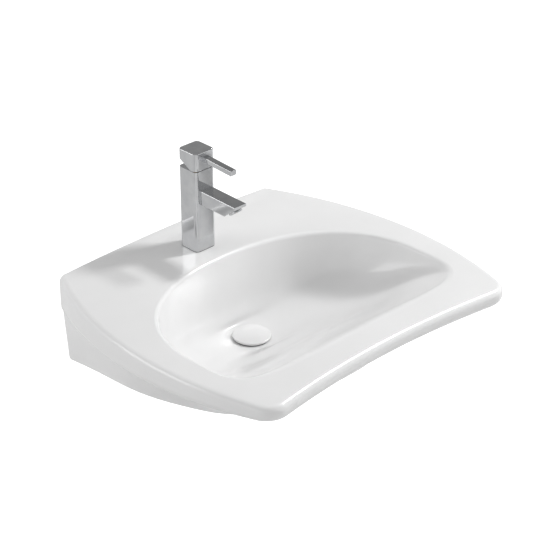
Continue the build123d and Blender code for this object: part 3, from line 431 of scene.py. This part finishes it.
def buildBasin(s, counts):
    # rows of points for the right half, from the middle of the back round to the middle of the front
    deck = s["deckHeight"]
    edgeLimit = s["backHalf"] - s["rimRoll"]
    rim, normals = rimStations(s, counts)
    atWall = smoothStep((rim[:, 1] + s["wallBlend"]) / s["wallBlend"])[:, None]
    inward = -normals * (1 - atWall) + np.array([-1.0, 0.0]) * atWall
    inward /= np.linalg.norm(inward, axis=1, keepdims=True)
    stretch = (1 / np.maximum(-np.sum(normals * inward, axis=1), 0.2))[:, None]

    def raised(points, height):
        heights = np.broadcast_to(np.asarray(height, float).reshape(-1, 1), (len(points), 1))
        return np.concatenate([points, heights], 1)

    def edgeLift(x):
        # height of the raised rear edge above the deck across the basin
        share = 1 - np.minimum(1, np.abs(x) / edgeLimit) ** 2
        return s["edgeEndRise"] + (s["edgeRise"] - s["edgeEndRise"]) * share

    # shares of the turn from the wall corner to the middle of the front
    polar = np.arctan2(rim[:, 1] + s["turnCentre"], rim[:, 0])
    shares = (polar[0] - polar) / (polar[0] + math.pi / 2)
    shares[0], shares[-1] = 0.0, 1.0
    apronTop = spreadAlong(s, bellyCurve(*s["apronTop"], 0.0), shares, 0.0)
    apronFoot = spreadAlong(s, bellyCurve(*s["apronFoot"], 0.0), shares, 0.0)
    innerTop = spreadAlong(s, bellyCurve(*s["apronTop"], s["apronWall"]), shares, -s["backWall"])
    innerFoot = spreadAlong(s, bellyCurve(*s["apronFoot"], s["apronWall"]), shares, -s["backWall"])
    footLevel = deck - s["apronHeight"]

    bandFoot = deck - (s["rimBack"] + (s["rimFront"] - s["rimBack"]) * -rim[:, 1] / s["depth"])
    footOuter = raised(apronFoot, footLevel - s["footRise"] * apronFoot[:, 1])
    apronTop = raised(apronTop, deck - s["apronStart"])
    share = ((apronTop[:, 2] - bandFoot) / (apronTop[:, 2] - footOuter[:, 2]))[:, None]
    apronAt = apronTop * (1 - share) + footOuter * share
    overhang = np.linalg.norm(apronAt[:, :2] - rim, axis=1)

    startInner = rim + inward * stretch * s["rimRoll"]
    one = np.ones(len(rim))
    # rows, stations, xyz, from where the roll leaves the deck to the foot of the apron
    corners = [raised(startInner, deck), raised(rim, deck), raised(rim, bandFoot), apronAt, footOuter,
               raised(innerFoot, footLevel - s["footRise"] * innerFoot[:, 1])]
    before = [None, stretch[:, 0] * s["rimRoll"], s["underRoll"] * one,
              np.minimum(s["underFillet"], 0.45 * overhang), s["footRoll"] * one, None]
    after = [None, s["rimRoll"] * one, np.minimum(s["underRoll"], 0.5 * overhang), s["underFillet"] * one,
             0.45 * s["footRoll"] * one, None]
    outerRows = np.array(roundedPath(corners, before, after, [0, 11, 9, 9, 7, 0], [0, 5, 4, 14, 0]))

    # back stations: the wall face is the wall corner's profile, drawn in towards the middle
    across = np.linspace(0, 1, counts["back"], endpoint=False)
    profile = outerRows[:, 0, :]
    wallX = across[None, :] * profile[:, :1]
    rise = edgeLift(across * profile[0, 0]) * smoothStep((1 - across) / 0.06)
    rollFoot = deck - s["rimRoll"]
    top = (deck + rise)[None, :]
    level = profile[:, 2:] + 0 * top
    raisedLevel = rollFoot + (level - rollFoot) * (top - rollFoot) / s["rimRoll"]
    wallZ = np.where(level >= rollFoot, raisedLevel, level)
    bend = np.maximum(s["edgeRound"] * smoothStep((1 - across) / 0.05), 1e-3)[None, :]
    sunk = np.clip(top - wallZ, 0, bend)
    wallY = -bend + np.sqrt(np.maximum(bend ** 2 - (bend - sunk) ** 2, 0)) + 0 * wallZ
    wallY = np.where(wallZ <= top - bend, 0.0, wallY)
    backRows = np.stack([wallX, wallY, wallZ], -1)
    outerRows = np.concatenate([backRows, outerRows], axis=1)

    def withBack(points):
        # prepends the back stations, which run from the middle to the wall corner on a straight line
        line = np.stack([across * points[0, 0], np.full(counts["back"], points[0, 1])], 1)
        return np.vstack([line, points[:, :2]])

    innerFoot = withBack(innerFoot)
    innerTop = withBack(innerTop)
    roll = outerRows[0]  # where the deck ends and the roll or the raised edge starts
    angles = np.arctan2(roll[:, 1] + s["bowlWidest"], roll[:, 0])

    # bowl and lip
    knots, splines = bowlShape(s)
    fine = np.linspace(knots[-2] - 60, knots[-1], 1200)
    topLevel = float(np.interp(deck, splines[0](fine), fine))
    edge = bowlRing(s, splines, topLevel, angles)
    below = bowlRing(s, splines, topLevel - 0.5, angles)
    speed = np.linalg.norm(edge - below, axis=1) / 0.5
    frontness = smoothStep((-np.sin(angles) - 0.35) / 0.5)
    lip = s["lipBack"] + (s["lipFront"] - s["lipBack"]) * frontness
    startLevels = topLevel - lip / speed
    outward = roll[:, :2] - edge[:, :2]
    outward = raised(outward / np.linalg.norm(outward, axis=1, keepdims=True), 0.0)
    lipEnd = edge + outward * (lip * (1 - 0.35 * frontness))[:, None]

    def bowlPoints(levels, wall=0.0):
        return np.array([bowlRing(s, splines, level, np.array([angle]), wall)[0]
                         for level, angle in zip(levels, angles)])

    lipStart = bowlPoints(startLevels)
    climb = lipStart - bowlPoints(startLevels - 0.3)
    climb /= np.linalg.norm(climb, axis=1, keepdims=True)
    rising = climb * 2 * np.linalg.norm(edge - lipStart, axis=1)[:, None]
    leaving = outward * 2 * np.linalg.norm(lipEnd - edge, axis=1)[:, None]
    floor = deck - s["bowlDepth"]
    wasteCentre = np.array([0.0, -s["wasteReach"], 0.0])
    around = raised(np.stack([np.cos(angles), np.sin(angles)], 1), 0.0)

    def roundWaste(radius, height):
        return wasteCentre + around * radius + np.array([0, 0, height])

    seat, seatRadius = floor - s["seatDrop"], s["seatRadius"]
    rows = [roundWaste(radius, height) for radius, height in (
        (s["wasteHole"], seat), (seatRadius - 0.5, seat), (seatRadius, seat + 0.5),
        (seatRadius, floor - 0.5), (seatRadius + 0.15, floor - 0.15), (seatRadius + 0.5, floor))]
    bowl = np.array([bowlPoints(startLevels * share ** 0.92)
                     for share in np.linspace(0, 1, counts["bowl"], endpoint=False)])
    rows.extend(calmed(bowl, counts["calmRounds"]))
    for share in np.linspace(0, 1, counts["lip"], endpoint=False):
        square, cube = share ** 2, share ** 3
        rows.append((2 * cube - 3 * square + 1) * lipStart + (cube - 2 * square + share) * rising
                    + (3 * square - 2 * cube) * lipEnd + (cube - square) * leaving)
    for share in np.linspace(0, 1, counts["deck"], endpoint=False):
        points = lipEnd * (1 - share) + raised(roll[:, :2], deck) * share
        lift = edgeLift(points[:, 0]) * smoothStep((edgeLimit - np.abs(points[:, 0])) / (0.06 * edgeLimit))
        lift *= smoothStep((points[:, 1] + s["edgeWidth"] + s["edgeCove"]) / s["edgeCove"])
        points[:, 2] = deck + lift
        rows.append(points)
    rows.extend(outerRows)

    # underneath: foot, inside of the apron, underside of the deck and outside of the bowl
    fine = np.linspace(0, topLevel, 800)
    heightsOut = splines[0](fine) - s["bowlWall"]
    under = deck - s["deckThickness"]
    footInner = raised(innerFoot, footLevel - s["footRise"] * innerFoot[:, 1])
    meet = np.full(len(angles), under)  # height where the apron's inside comes too near the bowl
    for level in np.linspace(under, -20, 60):
        share = ((under - level) / (under - footInner[:, 2]))[:, None]
        wall = innerTop * (1 - share) + innerFoot * share
        outside = bowlPoints(np.full(len(angles), np.interp(level, heightsOut, fine)), s["bowlWall"])
        room = np.hypot(wall[:, 0], wall[:, 1] + 300) - np.hypot(outside[:, 0], outside[:, 1] + 300)
        meet = np.where((room < s["leastRoom"]) & (meet > level - 1.5), level, meet)
    meet = np.convolve(np.pad(meet, 8, mode="reflect"), np.ones(9) / 9, mode="same")[8:8 + len(meet)]
    share = ((under - meet) / (under - footInner[:, 2]))[:, None]
    wallTop = raised(innerTop * (1 - share) + innerFoot * share, meet)
    bowlLevels = np.interp(meet, heightsOut, fine)
    bowlTop = bowlPoints(bowlLevels, s["bowlWall"])
    gap = np.linalg.norm(wallTop - bowlTop, axis=1)
    soft = np.minimum(s["soffitRound"], 0.42 * gap)
    lowerLevels = bowlLevels - s["wallJoin"]
    takes = [None, np.full(len(angles), 2.5), soft, soft, None]
    lower = bowlPoints(lowerLevels, s["bowlWall"])
    rows.extend(roundedPath([outerRows[-1], footInner, wallTop, bowlTop, lower],
                            takes, takes, [0, 4, 5, 5, 0], [0, 9, 6, 0]))
    for share in np.linspace(0, 1, counts["under"])[1:]:
        rows.append(bowlPoints(lowerLevels * (1 - share), s["bowlWall"]))
    shell, boss, bossRadius = floor - s["bowlWall"], floor - s["bossDrop"], s["bossRadius"]
    rows.extend(roundWaste(radius, height) for radius, height in (
        (bossRadius + 2, shell), (bossRadius, shell - 2), (bossRadius, boss + 1), (bossRadius - 1, boss),
        (s["wasteHole"] + 0.5, boss), (s["wasteHole"], boss + 0.5)))
    return np.array(rows)


def meshFromRows(name, rows, materials):
    # rows, stations and xyz in millimetres for the right half: the left half is mirrored, both loops close
    left = rows[:, -2:0:-1, :] * np.array([-1.0, 1.0, 1.0])
    grid = np.concatenate([rows, left], axis=1) * mm
    rowCount, stationCount = grid.shape[:2]
    row, station = np.meshgrid(np.arange(rowCount), np.arange(stationCount), indexing="ij")
    nextRow, nextStation = (row + 1) % rowCount, (station + 1) % stationCount
    corners = ((row, station), (row, nextStation), (nextRow, nextStation), (nextRow, station))
    faces = np.stack([at * stationCount + along for at, along in corners], -1).reshape(-1, 4)
    mesh = bpy.data.meshes.new(name)
    mesh.from_pydata(grid.reshape(-1, 3).tolist(), [], faces.tolist())
    cleanMesh(mesh)
    for material in materials:
        mesh.materials.append(material)
    made = bpy.data.objects.new(name, mesh)
    bpy.context.scene.collection.objects.link(made)
    return made


def cleanMesh(mesh):
    # welds points within a micrometre and turns the faces outward
    shape = bmesh.new()
    shape.from_mesh(mesh)
    bmesh.ops.remove_doubles(shape, verts=shape.verts, dist=1e-6)
    bmesh.ops.recalc_face_normals(shape, faces=shape.faces)
    shape.to_mesh(mesh)
    shape.free()


def cutHoles(target, cutters):
    # subtracts plain rods from a mesh: (centre, axis, radius, length) in millimetres
    shape = bmesh.new()
    for centre, axis, radius, length in cutters:
        turn = Vector((0, 0, 1)).rotation_difference(Vector(axis)).to_matrix().to_4x4()
        bmesh.ops.create_cone(shape, cap_ends=True, segments=64, radius1=radius * mm, radius2=radius * mm,
                              depth=length * mm, matrix=Matrix.Translation(Vector(centre) * mm) @ turn)
    rods = bpy.data.meshes.new("rods")
    shape.to_mesh(rods)
    shape.free()
    cutter = bpy.data.objects.new("rods", rods)
    bpy.context.scene.collection.objects.link(cutter)
    cut = target.modifiers.new("holes", "BOOLEAN")
    cut.operation, cut.object, cut.solver = "DIFFERENCE", cutter, "EXACT"
    applyModifiers(target)
    bpy.data.objects.remove(cutter)


def applyModifiers(target):
    # keeps what the modifiers make as a plain mesh
    bpy.context.view_layer.update()
    evaluated = target.evaluated_get(bpy.context.evaluated_depsgraph_get())
    mesh = bpy.data.meshes.new_from_object(evaluated)
    target.modifiers.clear()
    target.data = mesh


def smoothSurface(target, degrees):
    # smooth shading, with edges sharper than the angle kept sharp
    for polygon in target.data.polygons:
        polygon.use_smooth = True
    target.data.set_sharp_from_angle(angle=math.radians(degrees))


basin = meshFromRows("basinChina", buildBasin(basinSizes, basinCounts),
                     [slotMaterials["glazed_china"], chinaBare])
tapCutter = ((0, -basinSizes["tapReach"], 60), (0, 0, 1), basinSizes["tapHole"], 80)
fixingCutters = [((side * basinSizes["fixingSpacing"] / 2, -8, 0), (0, 1, 0), basinSizes["fixingHole"], 40)
                 for side in (-1, 1)]
cutHoles(basin, [tapCutter] + fixingCutters)
for polygon in basin.data.polygons:
    nearest = max(basin.data.vertices[i].co.y for i in polygon.vertices)
    polygon.material_index = 1 if nearest > -1e-5 and abs(polygon.normal.y) > 0.999 else 0
smoothSurface(basin, 40)
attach(basin, "basin")
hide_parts("basin")
print("basin made:", len(basin.data.polygons), "faces")


# ---- tap and waste: the CAD solids, welded, with the small radii that polishing leaves on their edges

edgeRadii = {  # millimetres
    "tap_body": 0.5, "handle_head": 0.5, "lever_bar": 0.9, "aerator_housing": 0.25, "collar_ring": 0.2,
    "waste_cover": 0.0, "waste_body": 0.2, "waste_tail": 0.2, "waste_backnut": 0.3, "fixing_nut": 0.25,
    "tap_base_gasket": 0.0, "horseshoe_gasket": 0.3, "horseshoe_plate": 0.2, "waste_washer": 0.3,
    "waste_lower_seal": 0.3, "aerator_insert": 0.0, "cover_holder": 0.2, "handle_screw": 0.0,
}


def polishedCopy(nodeName, radius):
    source = frame["nodes"][nodeName]
    mesh = source.data.copy()
    mesh.name = nodeName + "Dressed"
    shape = bmesh.new()
    shape.from_mesh(mesh)
    bmesh.ops.remove_doubles(shape, verts=shape.verts, dist=2e-6)
    bmesh.ops.dissolve_limit(shape, angle_limit=math.radians(0.6), verts=shape.verts, edges=shape.edges)
    if radius > 0:
        sharp = [edge for edge in shape.edges
                 if len(edge.link_faces) == 2 and edge.calc_face_angle(0) > math.radians(35)]
        bmesh.ops.bevel(shape, geom=sharp, offset=radius * mm, offset_type="OFFSET", segments=3, profile=0.5,
                        affect="EDGES", clamp_overlap=True)
    shape.to_mesh(mesh)
    shape.free()
    piece = bpy.data.objects.new(nodeName + "Dressed", mesh)
    bpy.context.scene.collection.objects.link(piece)
    smoothSurface(piece, 32)
    weighted = piece.modifiers.new("flatFaces", "WEIGHTED_NORMAL")
    weighted.keep_sharp = True
    applyModifiers(piece)
    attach(piece, source["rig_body"])
    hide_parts(nodeName)


for nodeName, radius in edgeRadii.items():
    polishedCopy(nodeName, radius)
print("tap and waste dressed:", len(edgeRadii), "pieces")


# ---- threads that show from below, made by one node tree

threadSizes = {  # millimetres: the bar's radius, the thread's length, pitch and depth, and its foot's place
    "wasteThread": {"radius": 20.9, "length": 18.0, "pitch": 2.3, "depth": 0.55, "foot": (0, -223, -127.0),
                    "slot": "chrome_plate"},
    "studThread": {"radius": 4.0, "length": 13.0, "pitch": 1.25, "depth": 0.3, "foot": (0, -93.9, 23.9),
                   "slot": "steel"},
}


def threadTree():
    # a small round ridge wound along a spiral
    tree = bpy.data.node_groups.new("threadRidge", "GeometryNodeTree")
    tree.interface.new_socket("Geometry", in_out="OUTPUT", socket_type="NodeSocketGeometry")
    for name in ("Radius", "Length", "Pitch", "Depth"):
        tree.interface.new_socket(name, in_out="INPUT", socket_type="NodeSocketFloat")
    tree.interface.new_socket("Foot", in_out="INPUT", socket_type="NodeSocketVector")
    tree.interface.new_socket("Finish", in_out="INPUT", socket_type="NodeSocketMaterial")
    given = addNode(tree, "NodeGroupInput")
    turns = addNode(tree, "ShaderNodeMath", {"operation": "DIVIDE"})
    tree.links.new(given.outputs["Length"], turns.inputs[0])
    tree.links.new(given.outputs["Pitch"], turns.inputs[1])
    spiral = addNode(tree, "GeometryNodeCurveSpiral", inputs={
        "Resolution": 48, "Rotations": (turns, "Value"), "Start Radius": (given, "Radius"),
        "End Radius": (given, "Radius"), "Height": (given, "Length")})
    ridge = addNode(tree, "GeometryNodeCurvePrimitiveCircle", {"mode": "RADIUS"},
                    {"Resolution": 6, "Radius": (given, "Depth")})
    swept = addNode(tree, "GeometryNodeCurveToMesh", inputs={
        "Curve": (spiral, "Curve"), "Profile Curve": (ridge, "Curve"), "Fill Caps": True})
    moved = addNode(tree, "GeometryNodeTransform", inputs={
        "Geometry": (swept, "Mesh"), "Translation": (given, "Foot")})
    real = addNode(tree, "GeometryNodeRealizeInstances", inputs={"Geometry": (moved, "Geometry")})
    finish = addNode(tree, "GeometryNodeSetMaterial", inputs={
        "Geometry": (real, "Geometry"), "Material": (given, "Finish")})
    addNode(tree, "NodeGroupOutput", inputs={"Geometry": (finish, "Geometry")})
    return tree


def growPiece(name, tree, values, body):
    # runs a node tree with the given inputs and keeps its result as a plain mesh
    piece = bpy.data.objects.new(name, bpy.data.meshes.new(name))
    bpy.context.scene.collection.objects.link(piece)
    grow = piece.modifiers.new("grow", "NODES")
    grow.node_group = tree
    for item in tree.interface.items_tree:
        if item.in_out == "INPUT" and item.name in values:
            grow[item.identifier] = values[item.name]
    applyModifiers(piece)
    cleanMesh(piece.data)
    smoothSurface(piece, 50)
    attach(piece, body)


ridgeTree = threadTree()
for name, sizes in threadSizes.items():
    growPiece(name, ridgeTree, {
        "Radius": (sizes["radius"] - 0.6 * sizes["depth"]) * mm, "Length": sizes["length"] * mm,
        "Pitch": sizes["pitch"] * mm, "Depth": sizes["depth"] * mm,
        "Foot": tuple(v * mm for v in sizes["foot"]),
        "Finish": slotMaterials[sizes["slot"]]}, "basin")
print("threads made:", len(threadSizes))


# ---- studio: floor, lights, world and camera

studio = {
    # metres, the light the floor gives the camera, and the share of it that mirrors see
    "floorLevel": -0.62, "floorColour": "#DCDCDC", "floorGlow": 0.75, "floorInMirrors": 0.12,
    # brightness overhead, halfway up and at the horizon, and the share left on the dark card
    "skyTop": 0.84, "skyBand": 0.27, "skyHorizon": 1.4, "skyFlag": 0.7,
    "cardDirection": (0.607, 0.626, 0.489),
    # metres, millimetres and degrees, as fitted to the photo
    "cameraPlace": (-2.0775, -2.4381, 1.7596), "cameraLens": 126.52,
    "azimuth": 44.119, "elevation": 29.278,
}
lamps = [  # name, place and size in metres, power in watts, and the point it aims at
    ("keyFromRight", (2.2, -1.0, 2.45), (0.42, 0.42), 64.0, (0, -0.2, 0.0)),
    ("keyFromFrontRight", (1.9, -2.0, 2.6), (1.2, 1.2), 6.0, (0, -0.3, 0.0)),
    ("fillFromBackLeft", (-2.4, 1.6, 1.4), (1.8, 1.2), 22.0, (0, -0.3, 0.0)),
]


def addLamp(name, place, size, power, aim):
    data = bpy.data.lights.new(name, "AREA")
    data.shape = "RECTANGLE"
    data.size, data.size_y = size
    data.energy = power
    lamp = bpy.data.objects.new(name, data)
    lamp.location = place
    lamp.rotation_euler = (Vector(aim) - Vector(place)).to_track_quat("-Z", "Y").to_euler()
    bpy.context.scene.collection.objects.link(lamp)


for lamp in lamps:
    addLamp(*lamp)


def paleFloor():
    # matt studio floor that keeps the shadow: its own light, seen by the camera, brings it near white
    material, tree, shader, place = newMaterial("paintedStudioFloor", {
        "Base Color": linearColour(studio["floorColour"]), "Roughness": 0.9, "Specular IOR Level": 0.2})
    ray = addNode(tree, "ShaderNodeLightPath")
    shader.inputs["Emission Color"].default_value = (1, 1, 1, 1)
    either = addNode(tree, "ShaderNodeMath", {"operation": "MAXIMUM"})
    tree.links.new(ray.outputs["Is Camera Ray"], either.inputs[0])
    tree.links.new(ray.outputs["Is Transmission Ray"], either.inputs[1])
    mirrored = addNode(tree, "ShaderNodeMath", {"operation": "MULTIPLY_ADD"})
    tree.links.new(ray.outputs["Is Glossy Ray"], mirrored.inputs[0])
    mirrored.inputs[1].default_value = studio["floorInMirrors"]
    tree.links.new(either.outputs["Value"], mirrored.inputs[2])
    seen = addNode(tree, "ShaderNodeMath", {"operation": "MULTIPLY"})
    tree.links.new(mirrored.outputs["Value"], seen.inputs[0])
    seen.inputs[1].default_value = studio["floorGlow"]
    tree.links.new(seen.outputs["Value"], shader.inputs["Emission Strength"])
    return material


floorMesh = bpy.data.meshes.new("studioFloor")
floorMesh.from_pydata([(x, y, studio["floorLevel"]) for x, y in ((-12, -12), (12, -12), (12, 12), (-12, 12))],
                      [], [(0, 1, 2, 3)])
floorMesh.materials.append(paleFloor())
studioFloor = bpy.data.objects.new("studioFloor", floorMesh)
bpy.context.scene.collection.objects.link(studioFloor)

world = bpy.data.worlds.new("studioWorld")
bpy.context.scene.world = world
world.use_nodes = True
sky = world.node_tree
sky.nodes.clear()
path = addNode(sky, "ShaderNodeLightPath")
# a studio's light by height: bright at the horizon, a darker band above it, and a pale ceiling
direction = addNode(sky, "ShaderNodeTexCoord")
parts = addNode(sky, "ShaderNodeSeparateXYZ", inputs={"Vector": (direction, "Generated")})
heights = addNode(sky, "ShaderNodeValToRGB", inputs={"Fac": (parts, "Z")})
heights.color_ramp.interpolation = "B_SPLINE"
for place, value in ((0.0, studio["skyHorizon"]), (0.12, studio["skyHorizon"]), (0.45, studio["skyBand"]),
                     (0.8, studio["skyBand"]), (0.97, studio["skyTop"])):
    stop = heights.color_ramp.elements.new(place)
    stop.color = (value, value, value, 1)
heights.color_ramp.elements.remove(heights.color_ramp.elements[0])
heights.color_ramp.elements.remove(heights.color_ramp.elements[-1])
# a dark card behind on the right, which polished metal shows in its level faces
toCard = addNode(sky, "ShaderNodeVectorMath", {"operation": "DOT_PRODUCT"})
sky.links.new(direction.outputs["Generated"], toCard.inputs[0])
toCard.inputs[1].default_value = studio["cardDirection"]
card = addNode(sky, "ShaderNodeMapRange", {"interpolation_type": "SMOOTHSTEP"}, {
    "Value": (toCard, "Value"), "From Min": 0.86, "From Max": 0.96,
    "To Min": 1.0, "To Max": studio["skyFlag"]})
lit = addNode(sky, "ShaderNodeBackground", inputs={"Color": (heights, "Color"), "Strength": (card, "Result")})
shown = addNode(sky, "ShaderNodeBackground", inputs={"Color": (1, 1, 1, 1), "Strength": 1.0})
mix = addNode(sky, "ShaderNodeMixShader", inputs={"Fac": (path, "Is Camera Ray")})
sky.links.new(lit.outputs["Background"], mix.inputs[1])
sky.links.new(shown.outputs["Background"], mix.inputs[2])
worldOutput = addNode(sky, "ShaderNodeOutputWorld")
sky.links.new(mix.outputs["Shader"], worldOutput.inputs["Surface"])

camera = bpy.data.objects.new("camera", bpy.data.cameras.new("camera"))
bpy.context.scene.collection.objects.link(camera)
turn, tilt = math.radians(studio["azimuth"]), math.radians(studio["elevation"])
right = Vector((math.cos(turn), -math.sin(turn), 0))
up = Vector((math.sin(turn) * math.sin(tilt), math.cos(turn) * math.sin(tilt), math.cos(tilt)))
facing = Matrix((right, up, right.cross(up))).transposed().to_4x4()
camera.matrix_world = Matrix.Translation(studio["cameraPlace"]) @ facing
camera.data.sensor_width = 36.0
camera.data.lens = studio["cameraLens"]
camera.data.clip_end = 100
bpy.context.scene.camera = camera
bpy.context.scene.view_settings.view_transform = "Standard"
print("studio made")
